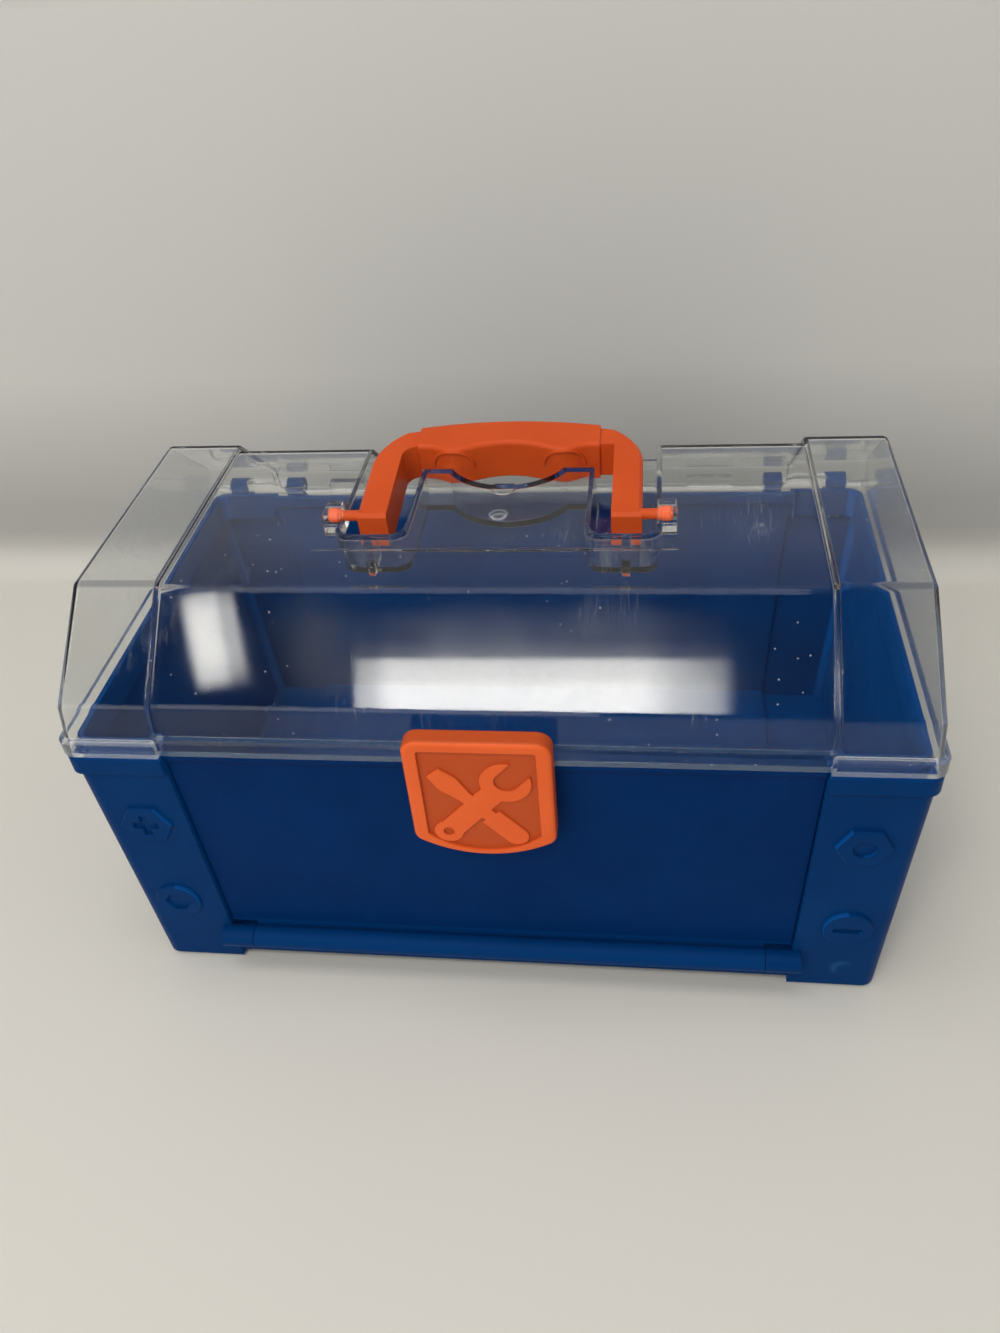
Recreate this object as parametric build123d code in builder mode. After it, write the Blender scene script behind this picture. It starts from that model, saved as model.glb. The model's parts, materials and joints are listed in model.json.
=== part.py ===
"""Toy tool box: a tub with a drop-down front, a clear hinged lid, a fold-down handle and a latch.

Millimetres. X runs along the box, the front looks to -Y, and +Z is up from the surface it stands on.
"""
import os
from math import cos, radians, sin

from build123d import *

os.makedirs("parts", exist_ok=True)

# Driving sizes of the whole box
box_width = 330.0
box_depth = 192.0
lid_top = 182.0
rim_top = 128.2
band_width = 40.2
band_step = 2.5
seat_gap = 0.4
sliding_gap = 0.3
running_clearance = 0.1

# Tub
end_overhang = 1.2
side_overhang = 2.2
end_lean = 6.3
post_lean = 3.9
tub_wall = 2.4
floor_thickness = 2.5
floor_rise = 5.0
tub_corner = 6.0
foot_edge = 1.8
rim_height = 8.7
rim_tuck = 0.4
rim_step = 1.8
rim_edge = 1.0
upstand_height = 5.4
upstand_wall = 2.2
upstand_clearance = 0.5
post_return_depth = 9.0
stop_depth = 2.2
stop_overlap = 3.0
stop_margin = 8.0
sill_height = 8.5
sill_lug_length = 12.0
sill_lug_height = 4.0
sill_lug_reach = 1.4

# Drop-down front
panel_inset = 2.0
panel_wall = 2.4
panel_side_gap = 0.6
panel_top_gap = 0.7
panel_lip_height = 5.0
panel_lip_reach = 1.6
panel_rib_margin = 9.0
panel_rib_width = 1.6
panel_rib_depth = 2.6
barrel_radius = 5.0
barrel_bite = 1.0
barrel_rise = 1.0
front_knuckle_length = 14.5
knuckle_gap = 0.2
front_pin_radius = 1.5
front_pin_bury = 8.0

# Lid
lid_wall = 2.0
lip_reach = 2.6
lip_height = 8.0
lip_edge = 1.2
lid_corner = 6.0
strip_height = 13.4
strip_lean = 2.4
slope_run = 37.0
crease_radius = 4.0
end_draft = 3.0
end_edge = 3.0
band_edge = 0.8

# Handle recess in the lid
recess_depth = 18.5
leg_room_outside = 5.7
leg_room_inside = 8.3
block_length = 52.5
scoop_half_width = 24.0
scoop_depth = 14.0
pocket_reach = 13.9
pocket_lean = 5.0
pocket_draft = 1.2
pocket_corner = 6.0
bead_width = 1.6
bead_height = 0.8
rest_rib_width = 3.0
rest_rib_height = 18.0
rest_rib_foot = 6.0
ridge_overrun = 8.8
ridge_distance = 10.0
ridge_width = 2.4
ridge_height = 0.6
gate_radius = 5.0
gate_height = 0.7
gate_distance = 17.0

# Handle
pivot_place = -4.6
pivot_rise = 0.9
handle_rise = 7.0
leg_inner = 45.3
leg_width = 12.2
leg_start = -2.5
leg_top = 1.9
handle_thickness = 16.3
handle_reach = 61.3
bow_radius = 190.0
handle_corner = 29.0
window_reach = 44.5
window_corner = 6.5
wave_margin = 12.3
wave_half = 24.0
wave_bulge = 4.2
wave_dip = 5.1
wave_bulge_radius = 10.0
wave_dip_radius = 36.0
handle_edge = 1.4
handle_wall = 2.6
grip_margin = 6.1
grip_proud = 0.9
grip_edge = 2.0
arch_radius = 9.3
arch_width = 0.9
arch_proud = 0.7
handle_pin_radius = 2.2
knob_radius = 2.8
knob_reach = 6.2
knob_length = 5.2
knob_edge = 1.1
clip_length = 7.7
clip_half_width = 5.6
clip_wall = 1.3
clip_depth = 6.0
clip_edge = 1.2

# Rear hinge
hinge_radius = 5.0
hinge_rise = 4.8
hinge_lip_gap = 5.2
hinge_inset = 11.7
outer_knuckle_length = 9.4
inner_knuckle_length = 8.1
knuckle_room = 20.5
hinge_side_gap = 0.5
gusset_height = 13.5
rear_pin_radius = 1.3
tab_distance = 24.8
tab_length = 22.0
tab_reach = 1.6
tab_height = 5.0

# Latch
latch_half_width = 27.3
latch_cover = 11.6
latch_height = 59.3
latch_bow = 8.6
latch_face_wall = 3.4
latch_side_wall = 2.2
latch_gap = 0.45
latch_corner = 6.0
latch_foot_corner = 5.0
latch_edge = 2.0
latch_frame = 5.7
latch_top_frame = 4.4
latch_frame_corner = 1.2
latch_recess = 1.4
latch_pin_radius = 1.25
ear_radius = 2.5
ear_width = 3.0
ear_place = 14.0
lug_width = 5.0

# Raised figures on the latch and the posts
emblem_height = 0.9
emblem_rise = 28.1
spanner_end = (-13.6, -15.4)
spanner_head = (9.8, 11.4)
spanner_end_radius = 5.6
spanner_half_handle = 4.7
spanner_head_radius = 9.6
spanner_jaw = 9.4
spanner_jaw_start = 0.6
spanner_hole_radius = 2.1
driver_tip = (-16.7, 15.9)
driver_end = (12.3, -17.0)
driver_tip_half_width = 3.1
driver_blade_half_width = 4.6
driver_neck_half_width = 2.8
driver_grip_half_width = 4.6
driver_shoulder = 7.5
driver_neck = 16.5
driver_grip_start = 30.0
medal_across = 22.0
medal_disc_radius = 10.0
medal_height = 1.6
medal_recess = 1.2
medal_edge = 0.6
medal_inset = 16.0
medal_upper = 90.0
medal_lower = 40.5
plus_length = 11.0
plus_width = 3.6
socket_across = 11.0
nut_hole_radius = 4.4
slot_length = 12.0
slot_width = 2.8

# Places worked out from the sizes above
half_width = box_width / 2
half_depth = box_depth / 2
band_inner = half_width - band_width
tub_half_width = half_width - end_overhang
tub_half_depth = half_depth - side_overhang
foot_half_width = tub_half_width - end_lean
foot_inner = band_inner - post_lean
medal_place = foot_half_width - medal_inset
lip_bottom = rim_top + seat_gap
strip_bottom = lip_bottom + lip_height
strip_top = strip_bottom + strip_height
strip_face = half_depth - lip_reach
lid_end_face = half_width - lip_reach
slope_start = strip_face - strip_lean
slope_end = slope_start - slope_run
mid_top = lid_top - band_step
skirt_bottom = lip_bottom - 4 * lip_height
rim_bottom = rim_top - rim_height
upstand_top = rim_top + upstand_height
upstand_depth = strip_face - lid_wall - upstand_clearance
upstand_width = lid_end_face - lid_wall - upstand_clearance
sill_top = floor_rise + sill_height
barrel_height = sill_top + barrel_radius + barrel_rise
panel_face = -(tub_half_depth - panel_inset)
panel_back = panel_face + panel_wall
panel_top = lip_bottom - panel_top_gap
barrel_axis = panel_face - barrel_radius + barrel_bite
barrel_end = band_inner - front_knuckle_length
hinge_axis = strip_face + hinge_lip_gap
hinge_height = rim_top + hinge_rise
outer_knuckle_end = half_width - hinge_inset
outer_knuckle_start = outer_knuckle_end - outer_knuckle_length
inner_knuckle_end = outer_knuckle_start - knuckle_room
inner_knuckle_start = inner_knuckle_end - inner_knuckle_length
tab_end = band_inner - tab_distance
tab_start = tab_end - tab_length
lid_rear_bottom = upstand_top + seat_gap + sliding_gap
latch_front = -(hinge_axis + hinge_radius)
latch_back = -(half_depth + latch_gap)
latch_top = strip_bottom + latch_cover
latch_bottom = latch_top - latch_height
latch_side_bottom = latch_bottom + latch_bow
latch_pivot_height = latch_side_bottom
latch_plate_back = latch_front + latch_face_wall
latch_pivot = latch_plate_back + ear_radius + sliding_gap + running_clearance
leg_outer = leg_inner + leg_width
recess_half_width = leg_outer + leg_room_outside
block_half_width = leg_inner - leg_room_inside
recess_floor = mid_top - recess_depth
pocket_front = pivot_place - pocket_reach
block_back = pocket_front + block_length
ridge_half_length = recess_half_width + ridge_overrun
ridge_place = pocket_front - ridge_distance
gate_place = block_back - gate_distance
pivot_height = mid_top + pivot_rise
wave_start = leg_inner - wave_margin
grip_half_length = leg_inner - grip_margin
knob_end = recess_half_width + knob_reach
medal_base = tub_half_depth - medal_recess
handle_plane = Plane(
    origin=(0, pivot_place, pivot_height),
    x_dir=(1, 0, 0),
    z_dir=(0, -sin(radians(handle_rise)), cos(radians(handle_rise))),
)
handle_normal = Axis((0, 0, 0), handle_plane.z_dir)


def banded_outline(half_x, half_y, step, inner_x, corner):
    """Plan of the box: end bands at full depth, with the middle set in by step at front and back."""
    with BuildSketch() as outline:
        with Locations(((half_x + inner_x) / 2, 0)):
            Rectangle(half_x - inner_x, 2 * half_y)
        fillet(outline.vertices().group_by(Axis.X)[-1], corner)
        mirror(about=Plane.YZ)
        Rectangle(2 * inner_x + step, 2 * (half_y - step))
    return outline.sketch


def tub_reach(height):
    """Distance from the middle of the box to the outside of the tub's ends, which lean outwards."""
    return foot_half_width + end_lean * height / rim_top


def post_edge(height):
    """Distance from the middle of the box to the inner edge of the front posts, which lean outwards."""
    return foot_inner + (band_inner - foot_inner) * height / rim_top


def opening_outline(grow, low, high):
    """Front opening between the posts, grown sideways, as seen from the front."""
    with BuildSketch() as outline:
        with BuildLine():
            Polyline(
                (-post_edge(low) - grow, low),
                (post_edge(low) + grow, low),
                (post_edge(high) + grow, high),
                (-post_edge(high) - grow, high),
                close=True,
            )
        make_face()
    return outline.sketch


def rod(start, end, place, height, radius):
    """Round bar along X."""
    with BuildPart() as bar:
        with BuildSketch(Plane.YZ.offset(start)):
            with Locations((place, height)):
                Circle(radius)
        extrude(amount=end - start)
    return bar.part


# Tub
def tub_end(inset, bottom, top):
    """Right end of the tub, leaning outwards from its foot to the rim."""
    with BuildPart() as end:
        with BuildSketch(Plane.XZ):
            with BuildLine():
                Polyline(
                    (post_edge(bottom) + inset, bottom),
                    (tub_reach(bottom) - inset, bottom),
                    (tub_reach(top) - inset, top),
                    (post_edge(top) + inset, top),
                    close=True,
                )
            make_face()
        extrude(amount=tub_half_depth - inset, both=True)
        corners = end.faces().sort_by(Axis.X)[-1].edges()
        fillet(corners.filter_by(lambda edge: edge.bounding_box().size.Z > rim_height), tub_corner - inset)
        if not inset:
            chamfer(end.faces().sort_by(Axis.Z)[0].edges(), foot_edge)
    return end.part


def tub_middle(inset, bottom):
    """Middle of the tub, set in between its ends."""
    with BuildPart() as middle:
        with BuildSketch(Plane.XZ):
            add(opening_outline(tub_wall + inset, bottom, rim_top))
        extrude(amount=tub_half_depth - band_step - inset, both=True)
    return middle.part


def raised_medal(place, height, hexagonal):
    """Bolt head moulded on a post."""
    with BuildPart() as medal:
        with BuildSketch(Plane.XZ.offset(medal_base)):
            with Locations((place, height)):
                if hexagonal:
                    RegularPolygon(medal_across / 2, 6)
                else:
                    Circle(medal_disc_radius)
        extrude(amount=medal_recess + medal_height)
        chamfer(medal.faces().sort_by(Axis.Y)[0].edges(), medal_edge)
    return medal.part


def rear_knuckle(start, end):
    """Hinge eye on the tub, carried on a gusset that runs down the back of the rim."""
    with BuildPart() as knuckle:
        with BuildSketch(Plane.YZ.offset(start)):
            with Locations((hinge_axis, hinge_height)):
                Circle(hinge_radius)
            with BuildLine():
                Polyline(
                    (hinge_axis - hinge_radius, hinge_height),
                    (hinge_axis + hinge_radius, hinge_height),
                    (half_depth, hinge_height - gusset_height),
                    (tub_half_depth - tub_wall / 2, hinge_height - gusset_height),
                    (tub_half_depth - tub_wall / 2, rim_top),
                    close=True,
                )
            make_face()
        extrude(amount=end - start)
    return knuckle.part


def upstand(inset):
    """Wall above the rim that the lid closes over, from the underside of the rim upwards."""
    inner_x = band_inner + lid_wall + upstand_clearance + inset
    with BuildPart() as ring:
        with BuildSketch(Plane.XY.offset(rim_bottom)):
            add(
                banded_outline(
                    upstand_width - inset, upstand_depth - inset, band_step, inner_x, tub_corner - inset
                )
            )
        extrude(amount=rim_height + upstand_height)
    return ring.part


with BuildPart() as tub:
    add(tub_end(0, 0, rim_top))
    mirror(about=Plane.YZ)
    add(tub_middle(0, floor_rise))
    with BuildSketch(Plane.XY.offset(rim_bottom)):
        add(banded_outline(half_width - rim_tuck, half_depth - rim_tuck, rim_step, band_inner, lid_corner))
    extrude(amount=rim_height)
    chamfer(tub.faces().sort_by(Axis.Z)[-1].outer_wire().edges(), rim_edge)
    add(upstand(0))
    end_room = tub_end(tub_wall, floor_thickness, rim_bottom)
    add(end_room, mode=Mode.SUBTRACT)
    mirror(end_room, about=Plane.YZ, mode=Mode.SUBTRACT)
    add(tub_middle(tub_wall, floor_rise + floor_thickness), mode=Mode.SUBTRACT)
    add(upstand(upstand_wall), mode=Mode.SUBTRACT)
    with BuildSketch(Plane.XZ.offset(tub_half_depth - panel_inset / 2)):
        add(opening_outline(tub_wall, floor_rise, rim_top))
    extrude(amount=-post_return_depth)
    with BuildSketch(Plane.XZ.offset(half_depth + rim_step)):
        add(opening_outline(0, sill_top, upstand_top + lip_height))
    extrude(amount=-(post_return_depth + 3 * rim_step + box_depth / 2 - tub_half_depth), mode=Mode.SUBTRACT)
    with BuildSketch(Plane.XZ.offset(-(panel_back + sliding_gap + stop_depth))):
        add(opening_outline(sliding_gap, sill_top + stop_margin, rim_bottom - stop_margin))
        add(opening_outline(-stop_overlap, sill_top, rim_bottom), mode=Mode.SUBTRACT)
    extrude(amount=stop_depth)
    for start, end in (
        (inner_knuckle_start, inner_knuckle_end),
        (outer_knuckle_start, outer_knuckle_end),
    ):
        add(rear_knuckle(start, end))
        mirror(rear_knuckle(start, end), about=Plane.YZ)
    add(rod(barrel_end, band_inner, barrel_axis, barrel_height, barrel_radius))
    mirror(rod(barrel_end, band_inner, barrel_axis, barrel_height, barrel_radius), about=Plane.YZ)
    with BuildSketch(Plane.XZ.offset(tub_half_depth - band_step - tub_wall / 2)):
        with Locations((0, floor_rise + sill_height / 2)):
            SlotOverall(sill_lug_length, sill_lug_height)
    extrude(amount=tub_wall / 2 + sill_lug_reach)
    for side in (-1, 1):
        add(raised_medal(side * medal_place, medal_upper, hexagonal=True))
        add(raised_medal(side * medal_place, medal_lower, hexagonal=False))
    with BuildSketch(Plane.XZ.offset(medal_base + medal_recess + medal_height)):
        with Locations((-medal_place, medal_upper)):
            Rectangle(plus_length, plus_width)
            Rectangle(plus_width, plus_length)
        with Locations((-medal_place, medal_lower)):
            RegularPolygon(socket_across / 2, 6)
        with Locations((medal_place, medal_upper)):
            Circle(nut_hole_radius)
        with Locations((medal_place, medal_lower)):
            SlotOverall(slot_length, slot_width)
    extrude(amount=-medal_recess, mode=Mode.SUBTRACT)
    add(
        rod(-outer_knuckle_end, outer_knuckle_end, hinge_axis, hinge_height, rear_pin_radius),
        mode=Mode.SUBTRACT,
    )
    add(
        rod(-band_inner + tub_wall, band_inner - tub_wall, barrel_axis, barrel_height, front_pin_radius),
        mode=Mode.SUBTRACT,
    )
tub.part.label = "tub"
export_step(tub.part, "parts/tub.step")


# Drop-down front panel with its hinge barrel and the latch ears
def latch_eye(start, width, wall_depth):
    """Flat eye round the latch pin, joined to the wall that stands at the given depth."""
    with BuildPart() as eye:
        with BuildSketch(Plane.YZ.offset(start)):
            with Locations((latch_pivot, latch_pivot_height)):
                Circle(ear_radius)
            with Locations(((latch_pivot + wall_depth) / 2, latch_pivot_height)):
                Rectangle(abs(wall_depth - latch_pivot), 2 * ear_radius)
        extrude(amount=width)
    return eye.part


panel_rib_low = barrel_height + barrel_radius + panel_rib_margin
panel_rib_high = panel_top - panel_rib_margin
knuckle_clear = barrel_radius + 2 * sliding_gap
with BuildPart() as front_panel:
    with BuildSketch(Plane.XZ.offset(-panel_back)):
        add(opening_outline(-panel_side_gap, barrel_height - barrel_radius / 2, panel_top))
    extrude(amount=panel_wall)
    with BuildSketch(Plane.YZ.offset(-band_inner)):
        with BuildLine():
            Polyline(
                (panel_face + panel_wall / 2, panel_top - panel_lip_height),
                (panel_face, panel_top - panel_lip_height),
                (panel_face - panel_lip_reach, panel_top - panel_wall / 2),
                (panel_face - panel_lip_reach, panel_top),
                (panel_face + panel_wall / 2, panel_top),
                close=True,
            )
        make_face()
    extrude(amount=2 * band_inner)
    with BuildSketch(Plane.XZ.offset(-panel_back)):
        add(opening_outline(-panel_side_gap, barrel_height - barrel_radius, panel_top))
    extrude(amount=panel_wall + panel_lip_reach, mode=Mode.INTERSECT)
    with BuildSketch(Plane.XZ.offset(-panel_back)):
        add(opening_outline(-panel_rib_margin, panel_rib_low, panel_rib_high))
        add(
            opening_outline(
                -panel_rib_margin - panel_rib_width,
                panel_rib_low + panel_rib_width,
                panel_rib_high - panel_rib_width,
            ),
            mode=Mode.SUBTRACT,
        )
    extrude(amount=-panel_rib_depth)
    for side in (-1, 1):
        with Locations((side * (barrel_end + band_width / 2 - knuckle_gap), panel_face, barrel_height)):
            Box(band_width, 2 * band_width, 2 * knuckle_clear, mode=Mode.SUBTRACT)
    add(rod(knuckle_gap - barrel_end, barrel_end - knuckle_gap, barrel_axis, barrel_height, barrel_radius))
    for side in (-1, 1):
        add(latch_eye(side * ear_place - ear_width / 2, ear_width, panel_face + panel_wall / 2))
    add(
        rod(-ear_place - ear_width, ear_place + ear_width, latch_pivot, latch_pivot_height, latch_pin_radius),
        mode=Mode.SUBTRACT,
    )
    for start, end in ((-barrel_end, front_pin_bury - barrel_end), (barrel_end - front_pin_bury, barrel_end)):
        add(
            rod(start, end, barrel_axis, barrel_height, front_pin_radius + running_clearance),
            mode=Mode.SUBTRACT,
        )
front_panel.part.label = "front_panel"
export_step(front_panel.part, "parts/front_panel.step")


# Lid
def hood_outline(inset):
    """Cross-section of the lid: upright strips, sloping sides and a flat top, moved in by inset."""
    with BuildSketch() as outline:
        with BuildLine():
            Polyline(
                (-strip_face, skirt_bottom),
                (-strip_face, strip_bottom),
                (-slope_start, strip_top),
                (-slope_end, lid_top),
                (slope_end, lid_top),
                (slope_start, strip_top),
                (strip_face, strip_bottom),
                (strip_face, skirt_bottom),
                close=True,
            )
        make_face()
        if inset:
            offset(amount=-inset, kind=Kind.INTERSECTION)
        creases = outline.vertices().filter_by_position(Axis.Y, strip_bottom + lip_height, lid_top)
        fillet(creases, crease_radius)
    return outline.sketch


def hood_band(inset, inner_x):
    """Right end band of the lid, closed by an end wall with some draft."""
    with BuildPart() as band:
        with BuildSketch(Plane.YZ.offset(inner_x)):
            add(hood_outline(inset))
        extrude(amount=half_width - inner_x)
        split(
            bisect_by=Plane(
                origin=(lid_end_face - inset, 0, strip_bottom),
                z_dir=(cos(radians(end_draft)), 0, sin(radians(end_draft))),
            ),
            keep=Keep.BOTTOM,
        )
        if not inset:
            fillet(band.faces().sort_by(Axis.X)[-1].edges(), end_edge)
            chamfer(band.faces().sort_by(Axis.X)[0].edges(), band_edge)
    return band.part


def hood_middle(inset, half_length):
    """Middle of the lid between the bands."""
    with BuildPart() as middle:
        with BuildSketch(Plane.YZ):
            add(hood_outline(inset))
        extrude(amount=half_length, both=True)
    return middle.part


def lid_lip():
    """Lip that runs round the foot of the lid."""
    with BuildPart() as lip:
        with BuildSketch(Plane.XY.offset(lip_bottom)):
            add(banded_outline(half_width, half_depth, rim_step, band_inner, lid_corner))
        extrude(amount=lip_height)
        chamfer(lip.faces().sort_by(Axis.Z)[-1].edges(), lip_edge)
        chamfer(lip.faces().sort_by(Axis.Z)[0].edges(), lip_edge / 2)
    return lip.part


def leg_pocket(grow):
    """Pocket for the right handle leg, with a leaning front wall."""
    with BuildPart() as pocket:
        for height, draft, lean in (
            (recess_floor - grow, pocket_draft, pocket_lean),
            (mid_top + bead_height, 0, 0),
        ):
            inner = block_half_width + draft - grow
            outer = recess_half_width - draft + grow
            front = pocket_front + lean - grow
            with BuildSketch(Plane.XY.offset(height)) as section:
                with Locations(((inner + outer) / 2, (front + block_back) / 2)):
                    Rectangle(outer - inner, block_back - front)
                fillet(section.vertices().group_by(Axis.Y)[0], pocket_corner)
        loft()
    return pocket.part


def grip_channel(grow):
    """Channel for the grip, from the scooped back of the block out through the rear slope."""
    scoop_radius = (scoop_half_width**2 + scoop_depth**2) / (2 * scoop_depth)
    with BuildPart() as channel:
        with BuildSketch(Plane.XY.offset(recess_floor - grow)):
            with Locations((0, (block_back + half_depth) / 2)):
                Rectangle(2 * recess_half_width, half_depth - block_back)
            with Locations((0, block_back - scoop_depth + scoop_radius)):
                Circle(scoop_radius)
            if grow:
                offset(amount=grow, kind=Kind.INTERSECTION)
        extrude(amount=mid_top + bead_height - recess_floor + grow)
    return channel.part


def clip_housing():
    """Boss outside the recess wall that takes the knob on the end of the right handle pin."""
    clip_top = pivot_height + knob_radius + running_clearance + clip_wall
    with BuildPart() as clip:
        with BuildSketch(Plane.YZ.offset(recess_half_width)):
            with Locations((pivot_place, (clip_top + mid_top - clip_depth) / 2)):
                Rectangle(2 * clip_half_width, clip_top - mid_top + clip_depth)
        extrude(amount=clip_length)
        fillet(clip.faces().sort_by(Axis.Z)[-1].edges(), clip_edge)
    return clip.part


def clip_bore():
    """Seat for the right handle pin through the recess wall, with a wider bore for its knob."""
    with BuildPart() as bore:
        add(
            rod(
                recess_half_width - 2 * pocket_draft,
                recess_half_width + lid_wall,
                pivot_place,
                pivot_height,
                handle_pin_radius + running_clearance,
            )
        )
        add(
            rod(
                knob_end - knob_length - 2 * running_clearance,
                recess_half_width + clip_length,
                pivot_place,
                pivot_height,
                knob_radius + running_clearance,
            )
        )
    return bore.part


def rest_rib():
    """Rib on the front wall of the right pocket that the end of the handle leg leans on."""
    leg_low = handle_plane.from_local_coords((0, leg_start, leg_top - handle_thickness))
    rib_back = leg_low.Y - sliding_gap - running_clearance
    with BuildPart() as rib:
        with BuildSketch(Plane.YZ.offset(leg_inner + leg_width / 2 - rest_rib_width / 2)):
            with BuildLine():
                Polyline(
                    (pocket_front - lid_wall / 2, recess_floor - lid_wall / 2),
                    (rib_back, recess_floor - lid_wall / 2),
                    (rib_back, recess_floor + rest_rib_foot),
                    (pocket_front + pocket_lean, recess_floor + rest_rib_height - lid_wall),
                    (pocket_front, recess_floor + rest_rib_height),
                    (pocket_front - lid_wall / 2, recess_floor + rest_rib_height),
                    close=True,
                )
            make_face()
        extrude(amount=rest_rib_width)
    return rib.part


def knuckle_notch(start, end):
    """Gap in the rear lip that clears one hinge eye of the tub."""
    with BuildPart() as notch:
        with BuildSketch(Plane.YZ.offset(start)):
            with Locations((half_depth, hinge_height)):
                Rectangle(2 * (half_depth - strip_face), 2 * (hinge_radius + seat_gap))
        extrude(amount=end - start)
    return notch.part


def lid_knuckle():
    """Hinge eye on the lid, between the two eyes of the tub."""
    web_depth = strip_face - lid_wall / 2
    with BuildPart() as knuckle:
        with BuildSketch(Plane.YZ.offset(inner_knuckle_end + hinge_side_gap)):
            with Locations((hinge_axis, hinge_height)):
                Circle(hinge_radius)
            with BuildLine():
                Polyline(
                    (web_depth, lid_rear_bottom),
                    (hinge_axis, lid_rear_bottom),
                    (hinge_axis, hinge_height + hinge_radius),
                    (web_depth, hinge_height + hinge_radius + lid_wall),
                    close=True,
                )
            make_face()
        extrude(amount=outer_knuckle_start - inner_knuckle_end - 2 * hinge_side_gap)
    return knuckle.part


def rear_tab():
    """Thickened tab on the rear lip of the lid."""
    with BuildPart() as tab:
        with BuildSketch(Plane.XZ.offset(-(half_depth - rim_step + tab_reach))):
            with Locations(((tab_start + tab_end) / 2, lid_rear_bottom + tab_height / 2)):
                RectangleRounded(tab_end - tab_start, tab_height, lip_edge)
        extrude(amount=tab_reach + lip_reach)
    return tab.part


with BuildPart() as hollow:
    add(hood_middle(band_step + lid_wall, band_inner + lid_wall))
    add(hood_band(lid_wall, band_inner + lid_wall))
    mirror(hood_band(lid_wall, band_inner + lid_wall), about=Plane.YZ)
    add(leg_pocket(lid_wall), mode=Mode.SUBTRACT)
    mirror(leg_pocket(lid_wall), about=Plane.YZ, mode=Mode.SUBTRACT)
    add(grip_channel(lid_wall), mode=Mode.SUBTRACT)
    add(clip_housing(), mode=Mode.SUBTRACT)
    mirror(clip_housing(), about=Plane.YZ, mode=Mode.SUBTRACT)

with BuildPart() as lid:
    add(hood_middle(band_step, band_inner + band_edge))
    add(hood_band(0, band_inner))
    mirror(hood_band(0, band_inner), about=Plane.YZ)
    split(bisect_by=Plane.XY.offset(lip_bottom), keep=Keep.TOP)
    with BuildSketch(Plane.XY.offset(mid_top - lid_wall / 2)) as beads:
        for side in (-1, 1):
            with Locations(
                (side * (block_half_width + recess_half_width) / 2, pocket_front + pocket_corner / 2)
            ):
                Rectangle(
                    recess_half_width - block_half_width + 2 * bead_width,
                    pocket_corner + 2 * bead_width,
                )
        fillet(beads.vertices().group_by(Axis.Y)[0], pocket_corner)
    extrude(amount=lid_wall / 2 + bead_height)
    with BuildSketch(Plane.XY.offset(mid_top - lid_wall / 2)):
        with BuildLine():
            Polyline(
                (-ridge_half_length, ridge_place),
                (0, ridge_place - ridge_width / 2),
                (ridge_half_length, ridge_place),
                (0, ridge_place + ridge_width / 2),
                close=True,
            )
        make_face()
    extrude(amount=lid_wall / 2 + ridge_height)
    with BuildSketch(Plane.XY.offset(mid_top - lid_wall / 2)):
        with Locations((0, gate_place)):
            Circle(gate_radius)
    extrude(amount=lid_wall / 2 + gate_height)
    add(clip_housing())
    mirror(clip_housing(), about=Plane.YZ)
    add(lid_lip())
    add(leg_pocket(0), mode=Mode.SUBTRACT)
    mirror(leg_pocket(0), about=Plane.YZ, mode=Mode.SUBTRACT)
    add(grip_channel(0), mode=Mode.SUBTRACT)
    for start, end in (
        (inner_knuckle_start, inner_knuckle_end),
        (outer_knuckle_start, outer_knuckle_end),
    ):
        notch = knuckle_notch(start - hinge_side_gap, end + hinge_side_gap)
        add(notch, mode=Mode.SUBTRACT)
        mirror(notch, about=Plane.YZ, mode=Mode.SUBTRACT)
    add(lid_knuckle())
    mirror(lid_knuckle(), about=Plane.YZ)
    add(rear_tab())
    mirror(rear_tab(), about=Plane.YZ)
    add(hollow.part, mode=Mode.SUBTRACT)
    with Locations((0, half_depth, lid_rear_bottom)):
        Box(
            2 * (upstand_width + sliding_gap),
            2 * (half_depth - upstand_depth + band_step + upstand_wall),
            2 * (lid_rear_bottom - lip_bottom + lid_wall),
            align=(Align.CENTER, Align.CENTER, Align.MAX),
            mode=Mode.SUBTRACT,
        )
    hinge_bore = rod(
        inner_knuckle_end,
        outer_knuckle_start,
        hinge_axis,
        hinge_height,
        rear_pin_radius + running_clearance,
    )
    add(hinge_bore, mode=Mode.SUBTRACT)
    mirror(hinge_bore, about=Plane.YZ, mode=Mode.SUBTRACT)
    add(rest_rib())
    mirror(rest_rib(), about=Plane.YZ)
    add(clip_bore(), mode=Mode.SUBTRACT)
    mirror(clip_bore(), about=Plane.YZ, mode=Mode.SUBTRACT)
lid.part.label = "lid"
export_step(lid.part, "parts/lid.step")


# Handle
def window_outline(grow):
    """Finger opening of the handle, with a wavy edge along the grip."""
    side = leg_inner - grow
    reach = window_reach - grow
    with BuildSketch() as outline:
        with BuildLine():
            Polyline(
                (0, leg_start - window_corner),
                (side, leg_start - window_corner),
                (side, reach),
                (wave_start, reach),
                (wave_half, reach - wave_bulge),
                (0, reach + wave_dip),
                (0, leg_start - window_corner),
            )
        make_face()
        mirror(about=Plane.YZ)
        fillet(outline.vertices().group_by(Axis.Y)[-1], wave_dip_radius + grow)
        fillet(outline.vertices().filter_by(lambda spot: abs(spot.X) == wave_half), wave_bulge_radius - grow)
        fillet(outline.vertices().filter_by(lambda spot: abs(spot.X) == wave_start), wave_bulge_radius + grow)
        upper = outline.vertices().filter_by_position(Axis.Y, reach - grip_edge, reach + grip_edge)
        fillet(upper.filter_by(lambda spot: abs(spot.X) == side), window_corner + grow)
    return outline.sketch


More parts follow.
